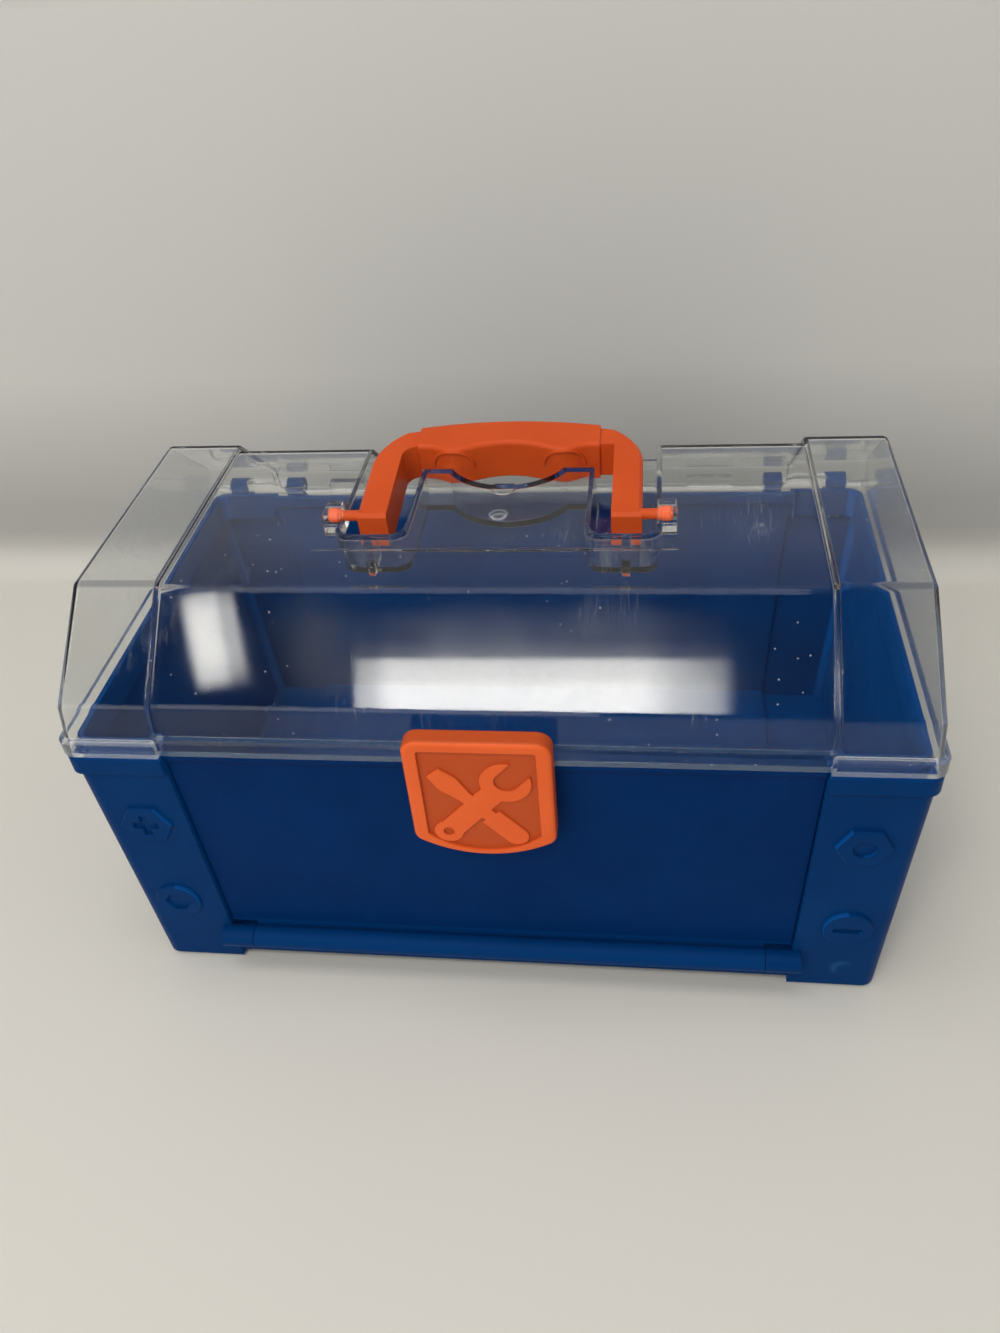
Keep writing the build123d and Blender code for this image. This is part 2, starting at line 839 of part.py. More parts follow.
def handle_outline(grow):
    """Handle seen square to its plane, with the pivot at the origin and a gently bowed grip."""
    with BuildSketch() as outline:
        with Locations((0, (leg_start + handle_reach) / 2)):
            Rectangle(2 * (leg_outer + grow), handle_reach - leg_start + 2 * grow)
        fillet(outline.vertices().group_by(Axis.Y)[-1], handle_corner + grow)
        with Locations((0, handle_reach - bow_radius)):
            Circle(bow_radius + grow, mode=Mode.INTERSECT)
        add(window_outline(grow), mode=Mode.SUBTRACT)
    return outline.sketch


def grip_block(grow):
    """Middle of the grip over its full thickness, grown outwards all round."""
    with BuildPart() as block:
        with BuildSketch(handle_plane.offset(leg_top + grip_proud)):
            add(handle_outline(grow))
            with Locations((0, window_reach)):
                Rectangle(2 * grip_half_length, 2 * handle_corner, mode=Mode.INTERSECT)
        extrude(amount=-handle_thickness - 2 * grip_proud)
    return block.part


def handle_grip():
    """Thicker middle of the grip, proud of the legs all round."""
    with BuildPart() as grip:
        add(grip_block(grip_proud))
        top_edges = grip.faces().sort_by(handle_normal)[-1].edges()
        fillet(
            top_edges.filter_by(lambda edge: abs(edge.center().X) < grip_half_length - grip_proud), grip_edge
        )
    return grip.part


def grip_arches():
    """Two arch-shaped ridges on the inner wall of the grip."""
    wall_plane = Plane(origin=handle_plane.origin, x_dir=(1, 0, 0), z_dir=-handle_plane.y_dir)
    with BuildPart() as arches:
        with BuildSketch(wall_plane):
            with Locations((-wave_half, leg_top - arch_radius), (wave_half, leg_top - arch_radius)):
                Circle(arch_radius)
                Circle(arch_radius - arch_width, mode=Mode.SUBTRACT)
            with Locations((0, leg_top - arch_radius)):
                Rectangle(
                    2 * leg_outer,
                    handle_thickness,
                    align=(Align.CENTER, Align.MAX),
                    mode=Mode.SUBTRACT,
                )
        extrude(amount=-window_reach - wave_dip)
        add(grip_block(grip_proud + arch_proud), mode=Mode.INTERSECT)
    return arches.part


def handle_pin():
    """Right pin of the handle, ending in a knob."""
    with BuildPart() as pin:
        add(rod(knob_end - knob_length, knob_end, pivot_place, pivot_height, knob_radius))
        chamfer(pin.edges().filter_by(GeomType.CIRCLE), knob_edge)
        start = leg_outer - handle_wall / 2
        add(rod(start, knob_end - knob_edge, pivot_place, pivot_height, handle_pin_radius))
    return pin.part


with BuildPart() as handle:
    with BuildSketch(handle_plane.offset(leg_top)):
        add(handle_outline(0))
    extrude(amount=-handle_thickness)
    outer_edges = handle.faces().sort_by(handle_normal)[-1].edges()
    outer_edges = outer_edges.filter_by(
        lambda edge: abs(edge.center().X) > leg_inner + handle_edge
        or handle_plane.to_local_coords(edge.center()).Y > window_reach + wave_dip
    )
    chamfer(outer_edges, handle_edge)
    add(handle_grip())
    add(grip_arches())
    with BuildSketch(handle_plane.offset(leg_top - handle_thickness - 2 * grip_proud)):
        add(handle_outline(-handle_wall))
    extrude(amount=handle_thickness + 2 * grip_proud - handle_wall, mode=Mode.SUBTRACT)
    add(handle_pin())
    mirror(handle_pin(), about=Plane.YZ)
handle.part.label = "handle"
export_step(handle.part, "parts/handle.step")


# Latch with its crossed tools
def latch_outline(inset, top, corner, foot_corner):
    """Front of the latch: square shoulders and a bowed lower edge."""
    side = latch_half_width - inset
    with BuildSketch() as outline:
        with BuildLine():
            Polyline(
                (-side, latch_side_bottom + inset / 2),
                (-side, top),
                (side, top),
                (side, latch_side_bottom + inset / 2),
            )
            ThreePointArc(
                (side, latch_side_bottom + inset / 2),
                (0, latch_bottom + inset / 2),
                (-side, latch_side_bottom + inset / 2),
            )
        make_face()
        fillet(outline.vertices().group_by(Axis.Y)[-1], corner)
        fillet(outline.vertices().group_by(Axis.Y)[0], foot_corner)
    return outline.sketch


def along(start, end, distance, side):
    """Point at a distance along the line from start to end, and to one side of it."""
    direction = (Vector(*end) - Vector(*start)).normalized()
    across = Vector(-direction.Y, direction.X)
    return tuple(Vector(*start) + direction * distance + across * side)[:2]


def spanner():
    """Open spanner with a holed end."""
    length = (Vector(*spanner_head) - Vector(*spanner_end)).length
    with BuildSketch() as outline:
        with BuildLine():
            Polyline(
                along(spanner_end, spanner_head, 0, spanner_half_handle),
                along(spanner_end, spanner_head, length, spanner_half_handle),
                along(spanner_end, spanner_head, length, -spanner_half_handle),
                along(spanner_end, spanner_head, 0, -spanner_half_handle),
                close=True,
            )
        make_face()
        with Locations(spanner_end):
            Circle(spanner_end_radius)
        with Locations(along(spanner_end, spanner_head, length, 0)):
            Circle(spanner_head_radius)
        with BuildLine():
            Polyline(
                along(spanner_end, spanner_head, length + spanner_jaw_start, spanner_jaw / 2),
                along(spanner_end, spanner_head, length + 2 * spanner_jaw, spanner_jaw / 2),
                along(spanner_end, spanner_head, length + 2 * spanner_jaw, -spanner_jaw / 2),
                along(spanner_end, spanner_head, length + spanner_jaw_start, -spanner_jaw / 2),
                close=True,
            )
        make_face(mode=Mode.SUBTRACT)
        with Locations(along(spanner_end, spanner_head, length + spanner_jaw_start, 0)):
            Circle(spanner_jaw / 2, mode=Mode.SUBTRACT)
        with Locations(spanner_end):
            Circle(spanner_hole_radius, mode=Mode.SUBTRACT)
    return outline.sketch


def screwdriver():
    """Screwdriver with a spread blade, a thin neck and a round-ended grip."""
    length = (Vector(*driver_end) - Vector(*driver_tip)).length
    widths = (
        (0, driver_tip_half_width),
        (driver_shoulder, driver_blade_half_width),
        (driver_neck, driver_neck_half_width),
        (driver_grip_start, driver_neck_half_width),
        (driver_grip_start, driver_grip_half_width),
        (length, driver_grip_half_width),
    )
    left = [along(driver_tip, driver_end, place, half) for place, half in widths]
    right = [along(driver_tip, driver_end, place, -half) for place, half in reversed(widths)]
    with BuildSketch() as outline:
        with BuildLine():
            Polyline(*left, *right, close=True)
        make_face()
        with Locations(driver_end):
            Circle(driver_grip_half_width)
    return outline.sketch


recess_face = latch_front + latch_recess
with BuildPart() as latch:
    with BuildSketch(Plane.XZ.offset(-latch_back)):
        add(latch_outline(0, latch_top, latch_corner, latch_foot_corner))
    extrude(amount=latch_back - latch_front)
    fillet(latch.faces().sort_by(Axis.Y)[0].edges(), latch_edge)
    with BuildSketch(Plane.XZ.offset(-latch_back)):
        add(
            latch_outline(
                latch_side_wall,
                latch_top - latch_side_wall - latch_edge,
                latch_corner - latch_side_wall,
                latch_foot_corner - latch_side_wall,
            )
        )
    extrude(amount=latch_back - latch_plate_back, mode=Mode.SUBTRACT)
    with BuildSketch(Plane.XZ.offset(-latch_front)):
        add(
            latch_outline(
                latch_frame,
                latch_top - latch_top_frame,
                latch_frame_corner,
                latch_frame_corner,
            )
        )
    extrude(amount=-latch_recess, mode=Mode.SUBTRACT)
    with BuildSketch(Plane.XZ.offset(-recess_face)):
        with Locations((0, latch_bottom + emblem_rise)):
            add(spanner())
            add(screwdriver())
    extrude(amount=emblem_height)
    for side in (-1, 1):
        lug_start = side * (ear_place - ear_width / 2 - sliding_gap - lug_width / 2) - lug_width / 2
        add(latch_eye(lug_start, lug_width, latch_plate_back))
    add(
        rod(
            -ear_place,
            ear_place,
            latch_pivot,
            latch_pivot_height,
            latch_pin_radius + running_clearance,
        ),
        mode=Mode.SUBTRACT,
    )
latch.part.label = "latch"
export_step(latch.part, "parts/latch.step")


# Hinge pins
pin_half = ear_place + ear_width / 2
with BuildPart() as latch_pin:
    add(rod(-pin_half, pin_half, latch_pivot, latch_pivot_height, latch_pin_radius))
latch_pin.part.label = "latch_pin"
export_step(latch_pin.part, "parts/latch_pin.step")

rear_pin = rod(inner_knuckle_start, outer_knuckle_end, hinge_axis, hinge_height, rear_pin_radius)
front_pin = rod(
    barrel_end - front_pin_bury + knuckle_gap,
    band_inner - tub_wall,
    barrel_axis,
    barrel_height,
    front_pin_radius,
)
for name, pin in (("rear_hinge_pin", rear_pin), ("front_hinge_pin", front_pin)):
    with BuildPart() as right_pin:
        add(pin)
    right_pin.part.label = name + "_right"
    export_step(right_pin.part, "parts/" + name + "_right.step")
    with BuildPart() as left_pin:
        mirror(pin, about=Plane.YZ)
    left_pin.part.label = name + "_left"
    export_step(left_pin.part, "parts/" + name + "_left.step")
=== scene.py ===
"""Looks of the toy tool box: clear lid, blue tub and front panel, orange handle and latch.

Lengths are in metres, in the frame of the CAD model: X along the box, the front to -Y, Z up.
Colours are linear RGB.
"""
import json
import math

import bpy
from mathutils import Matrix, Vector

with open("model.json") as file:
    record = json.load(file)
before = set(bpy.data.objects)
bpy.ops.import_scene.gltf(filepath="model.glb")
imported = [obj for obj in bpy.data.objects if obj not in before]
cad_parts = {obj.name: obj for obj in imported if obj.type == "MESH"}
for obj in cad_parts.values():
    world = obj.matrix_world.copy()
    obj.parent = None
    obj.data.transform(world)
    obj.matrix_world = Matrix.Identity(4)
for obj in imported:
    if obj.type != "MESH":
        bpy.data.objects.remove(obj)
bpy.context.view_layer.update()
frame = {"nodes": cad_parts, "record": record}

# Camera, fitted to the corners of the box in the photograph
CAMERA_PLACE = (0.05923, -0.37281, 0.40955)
CAMERA_RIGHT = (0.99106, 0.10996, -0.07546)
CAMERA_UP = (-0.01266, 0.64087, 0.76755)
CAMERA_BACK = (0.13276, -0.75974, 0.63654)
SENSOR_WIDTH = 36.0
FOCAL_LENGTH = 29.21
NEAREST_SEEN = 0.01

# Clear walls lie one behind another in the lid, so light passes more of them than usual
MOST_BOUNCES = 20

# All plastics. Patterns are cycles per metre, and a fade is the part of the noise that a pattern runs over.
EDGE_RADIUS = 0.0007
EDGE_SAMPLES = 6
PATCH_EDGE = 0.02
SPECK_PATCHES = 17
SCRATCH_PATCHES = 14
SCRATCH_LENGTHWISE = 0.06

# Opaque plastics
CLOUDS = 26
CLOUD_FADE = (0.35, 0.65)
SMEARS = 60
SMEAR_FADE = (0.3, 0.7)
GLOSSIER = 0.04
DULLER = 0.05
WAVES = 18
WAVE_HEIGHT = 0.0006
WAVE_STRENGTH = 0.6
DUST_SPECKS = {"scale": 240, "size": 0.10, "share": 0.42}
DUST_PALER = 0.10
DUST_WEIGHT = 0.3

# Tub: painted light makes the inner faces of its thin end walls lighter, for light that shines through
# them, and its right foot is rubbed in one place. A face is an end wall's inner one where its place along X
# times its normal's X is below INWARD_SURE.
TUB_BLUE = (0.001, 0.037, 0.150)
TUB_SHADE = (0.0005, 0.031, 0.132)
TUB_INSIDE_PAINTED_LIGHT = (0.002, 0.068, 0.265)
INWARD_SURE = -0.01
INWARD_NOT = -0.002
RUBBED_BLUE = (0.02, 0.11, 0.24)
RUB_ON_FOOT = (0.1425, -0.0935, 0.0135)
RUB_CUT = (0.1445, -0.0935, 0.0118)
FOOT_RUB_SPOT = {"radius": 0.0035, "soft": 0.002}
FOOT_RUB_WEIGHT = 0.5

# Front panel: its barrel is painted lighter than its plate, painted light for the light it catches from
# above
PANEL_BLUE = (0.001, 0.027, 0.124)
PANEL_SHADE = (0.0005, 0.023, 0.109)
BARREL_PAINTED_LIGHT = (0.001, 0.038, 0.158)
BARREL_TOP = 0.0265
BARREL_SOFT = 0.0005

# Handle, in a darker copy of the latch's orange as painted shade, and the latch with painted shade on its
# sunk field
HANDLE_ORANGE_PAINTED_SHADE = (0.68, 0.088, 0.014)
HANDLE_CLOUD_ORANGE_PAINTED_SHADE = (0.62, 0.075, 0.011)
LATCH_ORANGE = (0.86, 0.135, 0.028)
LATCH_SHADE = (0.81, 0.120, 0.023)
# Painted shade on the latch's sunk field, darker than its frame and figure
LATCH_RECESS_PAINTED_SHADE = (0.54, 0.078, 0.0145)
LATCH_FACE = -0.1030
LATCH_FLOOR = -0.1024

# Lid. A weight is how much of the surface a mark hides where it is full.
CLEAR = (0.93, 0.94, 0.935)
CLEAR_TO_LAMPS = (0.96, 0.97, 0.97)
CLEAR_IOR = 1.31
LID_SMEARS = 22
LID_SMEAR_FADE = (0.35, 0.75)
LID_ROUGHNESS = (0.015, 0.06)
LID_WAVES = 14
LID_WAVE_HEIGHT = 0.0001
LID_WAVE_STRENGTH = 0.5
HAZE = (0.62, 0.64, 0.66)
HAZE_CLOUDS = 9
HAZE_FADE = (0.4, 0.75)
HAZE_SHARE = (0.001, 0.006)
RISING_SCRATCHES = {"scale": 420, "turn": (8, 14, 35), "width": 0.005, "share": 0.44}
FALLING_SCRATCHES = {"scale": 460, "turn": (-10, 20, -42), "width": 0.005, "share": 0.43}
SCRATCH_WEIGHT = 0.14
LID_SPECKS = {"scale": 170, "size": 0.08, "share": 0.5}
SPECK_WEIGHT = 0.8
GATE_MARK = (0.0, -0.003, 0.180)
GATE_OUTER = {"radius": 0.0036, "soft": 0.0006}
GATE_INNER = {"radius": 0.0024, "soft": 0.0012}
GATE_WEIGHT = 0.30
RUB_MARK = (0.103, -0.013, 0.182)
RUB_SPOT = {"radius": 0.002, "soft": 0.005}
RUB_GRAINS = 420
RUB_FADE = (0.5, 0.7)
RUB_WEIGHT = 0.30

# Its lip carries painted shade underneath, in front and mostly between the end bands
LIP_SHADE = (0.02, 0.05, 0.11)
LIP_SHADE_WEIGHT = 0.8
LIP_UNDERSIDE = 0.1287
LIP_UNDERSIDE_SOFT = 0.0001
LIP_SHADE_FRONT = -0.02
LIP_SHADE_BACK = 0.0
LIP_SHADE_END = 0.1248
LIP_SHADE_END_SOFT = 0.002
LIP_SHADE_BANDS = 0.35

# Hinge pins
WIRE_DARK = (0.46, 0.46, 0.47)
WIRE_LIGHT = (0.62, 0.62, 0.63)
WIRE_LINES = (30, 2500, 2500)
WIRE_FADE = (0.3, 0.7)
WIRE_ROUGHNESS = (0.25, 0.4)
WIRE_DEPTH = 0.00002

# Floor and wall: one sweep, and a floor beyond it. A pair is the heights that the colour changes between.
SWEEP_SIDE = 1.6
SWEEP_FRONT = -1.3
SWEEP_BEND = 0.20
SWEEP_RADIUS = 0.02
SWEEP_TOP = 1.6
BEND_STEPS = 16
BEYOND_SINK = 0.0005
BEYOND_BACK = 1.6
PAPER_ROUGHNESS = 0.75
PAPER_CLOUDS = 3
FLOOR_SHADE = (0.69, 0.665, 0.605)
FLOOR_PALE = (0.73, 0.70, 0.64)
FLOOR_TO_WALL = (0.0, 0.03)
# Painted shade: the standing paper is darker than the lying paper, most at its foot and near its top
WALL_FOOT_PAINTED_SHADE = (0.44, 0.43, 0.41)
WALL_PALE = (0.64, 0.625, 0.59)
WALL_PALES = (0.05, 0.14)
WALL_TOP_PAINTED_SHADE = (0.30, 0.29, 0.275)
WALL_TOP_SHADE_HEIGHTS = (0.335, 0.38)

# Room light, dimmer in the direction that the front slope of the lid mirrors. It starts to dim where
# the cosine of the angle to that direction is DARK_STARTS.
ROOM_COLOUR = (0.97, 0.98, 1.0)
ROOM_LIGHT = 0.57
DARK_LIGHT = 0.03
DARK_SIDE = (-0.05, -0.56, 0.83)
DARK_STARTS = 0.74
DARK_FULL = 0.90
WINDOW_COLOUR = (1.0, 0.98, 0.91)

# Sockets of a colour Mix node, whose names repeat
MIX_SHARE, MIX_FIRST, MIX_SECOND, MIX_RESULT = 0, 6, 7, 2


class Nodes:
    """The nodes of a material, a world or a lamp, added call by call."""

    def __init__(self, tree):
        self.tree = tree

    def node(self, kind, inputs=None, **settings):
        """A new node with these settings and with its inputs filled."""
        made = self.tree.nodes.new(kind)
        for key, value in settings.items():
            setattr(made, key, value)
        for key, value in (inputs or {}).items():
            self.fill(made.inputs[key], value)
        return made

    def fill(self, socket, value):
        """Give a socket the output of another node, a colour or a plain value."""
        if isinstance(value, bpy.types.NodeSocket):
            self.tree.links.new(value, socket)
        elif socket.type == "RGBA":
            socket.default_value = (*value, 1)
        else:
            socket.default_value = value

    def spread(self, source, low, high, start=0.0, end=1.0):
        """The source, stretched from low..high to start..end and kept inside it."""
        inputs = {"Value": source, "From Min": low, "From Max": high, "To Min": start, "To Max": end}
        return self.node("ShaderNodeMapRange", inputs).outputs[0]

    def maths(self, operation, first, second=None, clamp=False):
        """One or two numbers or outputs put through a Math node."""
        inputs = {0: first} if second is None else {0: first, 1: second}
        return self.node("ShaderNodeMath", inputs, operation=operation, use_clamp=clamp).outputs[0]

    def vectors(self, operation, first, second):
        """The outputs of a Vector Math node."""
        return self.node("ShaderNodeVectorMath", {0: first, 1: second}, operation=operation).outputs

    def blend(self, share, first, second):
        """Colour between first and second by share."""
        inputs = {MIX_SHARE: share, MIX_FIRST: first, MIX_SECOND: second}
        return self.node("ShaderNodeMix", inputs, data_type="RGBA").outputs[MIX_RESULT]

    def mixed(self, share, first, second):
        """Shader between first and second by share."""
        return self.node("ShaderNodeMixShader", {0: share, 1: first, 2: second}).outputs[0]


class Material(Nodes):
    """A material with a Principled surface and patterns in the object's own coordinates."""

    def __init__(self, name):
        self.material = bpy.data.materials.new(name)
        self.material.use_nodes = True
        super().__init__(self.material.node_tree)
        self.tree.nodes.clear()
        self.output = self.node("ShaderNodeOutputMaterial")
        self.surface = self.node("ShaderNodeBsdfPrincipled")
        self.show(self.surface.outputs[0])
        self.place = self.node("ShaderNodeTexCoord").outputs["Object"]

    def show(self, shader):
        """Make this shader the one that is seen."""
        self.fill(self.output.inputs["Surface"], shader)

    def set(self, **values):
        """Fill sockets of the Principled surface, whose names are written with underscores."""
        for key, value in values.items():
            self.fill(self.surface.inputs[key.replace("_", " ")], value)

    def along(self, axis):
        """The object's own X, Y or Z."""
        return self.node("ShaderNodeSeparateXYZ", {0: self.place}).outputs[axis]

    def stretched(self, scale, turn=(0, 0, 0)):
        """Object coordinates, turned by degrees and scaled along each axis."""
        turn = [math.radians(angle) for angle in turn]
        inputs = {"Scale": scale, "Rotation": turn, "Vector": self.place}
        return self.node("ShaderNodeMapping", inputs).outputs[0]

    def noise(self, scale, detail=4, rough=0.55, place=None):
        """Noise with this number of cycles per metre."""
        inputs = {"Scale": scale, "Detail": detail, "Roughness": rough, "Vector": place or self.place}
        return self.node("ShaderNodeTexNoise", inputs).outputs[0]

    def patches(self, scale, detail, share):
        """Mask of cloudy patches; the larger share is, the more they cover."""
        return self.spread(self.noise(scale, detail), 1 - share, 1 - share + PATCH_EDGE)

    def specks(self, scale, size, share):
        """Mask of small dots, this many per metre, gathered in patches."""
        cells = self.node("ShaderNodeTexVoronoi", {"Scale": scale, "Vector": self.place})
        dots = self.spread(cells.outputs["Distance"], 0.0, size, 1.0, 0.0)
        return self.maths("MULTIPLY", dots, self.patches(SPECK_PATCHES, 3, share), clamp=True)

    def scratches(self, scale, turn, width, share):
        """Mask of thin scratches that run one way, gathered in patches."""
        lengthwise = scale * SCRATCH_LENGTHWISE
        place = self.stretched((scale, lengthwise, lengthwise), turn)
        lines = self.noise(1.0, detail=2, rough=0.4, place=place)
        off_middle = self.maths("ABSOLUTE", self.maths("SUBTRACT", lines, 0.5))
        thin = self.spread(off_middle, 0.0, width, 1.0, 0.0)
        return self.maths("MULTIPLY", thin, self.patches(SCRATCH_PATCHES, 2, share), clamp=True)

    def near(self, centre, radius, soft):
        """Mask of a round spot: 1 within radius of centre, and 0 from soft beyond it."""
        distance = self.vectors("DISTANCE", self.place, centre)["Value"]
        return self.spread(distance, radius, radius + soft, 1.0, 0.0)

    def rounded(self, radius):
        """Normal with the edges rounded off."""
        return self.node("ShaderNodeBevel", {"Radius": radius}, samples=EDGE_SAMPLES).outputs[0]

    def bump(self, height, distance, strength=1.0, under=None):
        """Normal with this relief on top of the normal under it."""
        inputs = {"Strength": strength, "Distance": distance, "Height": height}
        if under is not None:
            inputs["Normal"] = under
        return self.node("ShaderNodeBump", inputs).outputs[0]


# Materials
def plastic(name, colour, shade, roughness, shine, grain, grain_depth, tint=None):
    """Moulded plastic: faintly cloudy, finely grained and softly edged, with a few dust specks.

    colour and shade are the ends of its cloudy colour, grain the bumps of its skin per metre.
    tint(made, base) returns the base colour changed in places.
    """
    made = Material(name)
    base = made.blend(made.spread(made.noise(CLOUDS, detail=5), *CLOUD_FADE), colour, shade)
    if tint:
        base = tint(made, base)
    dusty = tuple(min(1.0, value + DUST_PALER) for value in colour)
    dust = made.maths("MULTIPLY", made.specks(**DUST_SPECKS), DUST_WEIGHT)
    smear = made.noise(SMEARS, detail=3)
    skin = made.bump(made.noise(grain, detail=2), grain_depth, under=made.rounded(EDGE_RADIUS))
    made.set(
        Base_Color=made.blend(dust, base, dusty),
        Roughness=made.spread(smear, *SMEAR_FADE, roughness - GLOSSIER, roughness + DULLER),
        Normal=made.bump(made.noise(WAVES, detail=1), WAVE_HEIGHT, WAVE_STRENGTH, under=skin),
        Specular_IOR_Level=shine,
    )
    return made.material


def tub_tint(made, base):
    """The end walls' faces that look inward are painted lighter, as painted light shining through the thin
    walls, and one foot has a rubbed crescent.
    """
    sideways = made.vectors("MULTIPLY", made.place, (1, 0, 0))["Vector"]
    normal = made.node("ShaderNodeNewGeometry").outputs["True Normal"]
    outward = made.vectors("DOT_PRODUCT", sideways, normal)["Value"]
    # Painted light: inward faces of the end walls get a lighter blue
    base = made.blend(made.spread(outward, INWARD_SURE, INWARD_NOT, 1.0, 0.0), base, TUB_INSIDE_PAINTED_LIGHT)
    spot, cut = (made.near(place, **FOOT_RUB_SPOT) for place in (RUB_ON_FOOT, RUB_CUT))
    crescent = made.maths("SUBTRACT", spot, cut, clamp=True)
    return made.blend(made.maths("MULTIPLY", crescent, FOOT_RUB_WEIGHT), base, RUBBED_BLUE)


def panel_tint(made, base):
    """Painted light: the barrel is lighter than the plate above it."""
    barrel = made.spread(made.along("Z"), BARREL_TOP + BARREL_SOFT, BARREL_TOP)
    return made.blend(barrel, base, BARREL_PAINTED_LIGHT)


def latch_tint(made, base):
    """Painted shade: the field is darker than the frame and the figure that stand proud of it."""
    return made.blend(made.spread(made.along("Y"), LATCH_FACE, LATCH_FLOOR), base, LATCH_RECESS_PAINTED_SHADE)


def gate_ring(made):
    """Mask of the round mark that the injection gate left on top of the lid."""
    outer = made.near(GATE_MARK, **GATE_OUTER)
    return made.maths("SUBTRACT", outer, made.near(GATE_MARK, **GATE_INNER))


def lid_rub(made):
    """Mask of the rubbed spot on top of the lid."""
    spot = made.near(RUB_MARK, **RUB_SPOT)
    return made.maths("MULTIPLY", spot, made.spread(made.noise(RUB_GRAINS), *RUB_FADE))


def lip_shade(made):
    """Mask of the painted shade on the lip's underside in front, weaker on the end bands."""
    below = made.spread(made.along("Z"), LIP_UNDERSIDE, LIP_UNDERSIDE + LIP_UNDERSIDE_SOFT, 1.0, 0.0)
    in_front = made.spread(made.along("Y"), LIP_SHADE_FRONT, LIP_SHADE_BACK, 1.0, 0.0)
    from_middle = made.maths("ABSOLUTE", made.along("X"))
    between = made.spread(
        from_middle, LIP_SHADE_END, LIP_SHADE_END + LIP_SHADE_END_SOFT, 1.0, LIP_SHADE_BANDS
    )
    return made.maths("MULTIPLY", made.maths("MULTIPLY", below, in_front), between)


def clear_plastic(name):
    """Clear moulded plastic with light haze, dust, scratches and painted shade under its lip, which lets
    lamps through.
    """
    made = Material(name)
    smear = made.noise(LID_SMEARS, detail=5, rough=0.6)
    wave = made.noise(LID_WAVES, detail=1)
    rounded = made.rounded(EDGE_RADIUS)
    made.set(
        Transmission_Weight=1.0,
        IOR=CLEAR_IOR,
        Base_Color=CLEAR,
        Roughness=made.spread(smear, *LID_SMEAR_FADE, *LID_ROUGHNESS),
        Normal=made.bump(wave, LID_WAVE_HEIGHT, LID_WAVE_STRENGTH, under=rounded),
    )
    rising, falling = (made.scratches(**kind) for kind in (RISING_SCRATCHES, FALLING_SCRATCHES))
    shaded = lip_shade(made)
    share = made.spread(made.noise(HAZE_CLOUDS, detail=6, rough=0.65), *HAZE_FADE, *HAZE_SHARE)
    for mask, weight in (
        (made.maths("MAXIMUM", rising, falling), SCRATCH_WEIGHT),
        (made.specks(**LID_SPECKS), SPECK_WEIGHT),
        (gate_ring(made), GATE_WEIGHT),
        (lid_rub(made), RUB_WEIGHT),
        (shaded, LIP_SHADE_WEIGHT),
    ):
        share = made.maths("ADD", share, made.maths("MULTIPLY", mask, weight))
    haze = made.node("ShaderNodeBsdfDiffuse", {"Color": made.blend(shaded, HAZE, LIP_SHADE)})
    seen = made.mixed(share, made.surface.outputs[0], haze.outputs[0])
    through = made.node("ShaderNodeBsdfTransparent", {"Color": CLEAR_TO_LAMPS})
    to_lamps = made.node("ShaderNodeLightPath").outputs["Is Shadow Ray"]
    made.show(made.mixed(to_lamps, seen, through.outputs[0]))
    return made.material


def steel(name):
    """Drawn wire."""
    made = Material(name)
    lines = made.noise(1.0, detail=3, place=made.stretched(WIRE_LINES))
    made.set(
        Base_Color=made.blend(lines, WIRE_DARK, WIRE_LIGHT),
        Roughness=made.spread(lines, *WIRE_FADE, *WIRE_ROUGHNESS),
        Normal=made.bump(lines, WIRE_DEPTH),
        Metallic=1.0,
    )
    return made.material


def paper(name):
    """Matt paper, pale where it lies and painted darker where it stands, with painted shade at the wall's
    foot and near its top, and open from behind.
    """
    made = Material(name)
    rise = made.along("Z")
    lying = made.blend(made.noise(PAPER_CLOUDS, detail=2), FLOOR_SHADE, FLOOR_PALE)
    standing = made.blend(made.spread(rise, *WALL_PALES), WALL_FOOT_PAINTED_SHADE, WALL_PALE)
    standing = made.blend(made.spread(rise, *WALL_TOP_SHADE_HEIGHTS), standing, WALL_TOP_PAINTED_SHADE)
    made.set(
        Base_Color=made.blend(made.spread(rise, *FLOOR_TO_WALL), lying, standing),
        Roughness=PAPER_ROUGHNESS,
    )
    behind = made.node("ShaderNodeNewGeometry").outputs["Backfacing"]
    nothing = made.node("ShaderNodeBsdfTransparent").outputs[0]
    made.show(made.mixed(behind, made.surface.outputs[0], nothing))
    return made.material


# The parts of the scene
def set_camera():
    """The camera of the photograph."""
    data = bpy.data.cameras.new("camera")
    data.sensor_width = SENSOR_WIDTH
    data.lens = FOCAL_LENGTH
    data.clip_start = NEAREST_SEEN
    camera = bpy.data.objects.new("camera", data)
    bpy.context.collection.objects.link(camera)
    axes = Matrix((CAMERA_RIGHT, CAMERA_UP, CAMERA_BACK)).transposed()
    camera.matrix_world = Matrix.Translation(CAMERA_PLACE) @ axes.to_4x4()
    bpy.context.scene.camera = camera


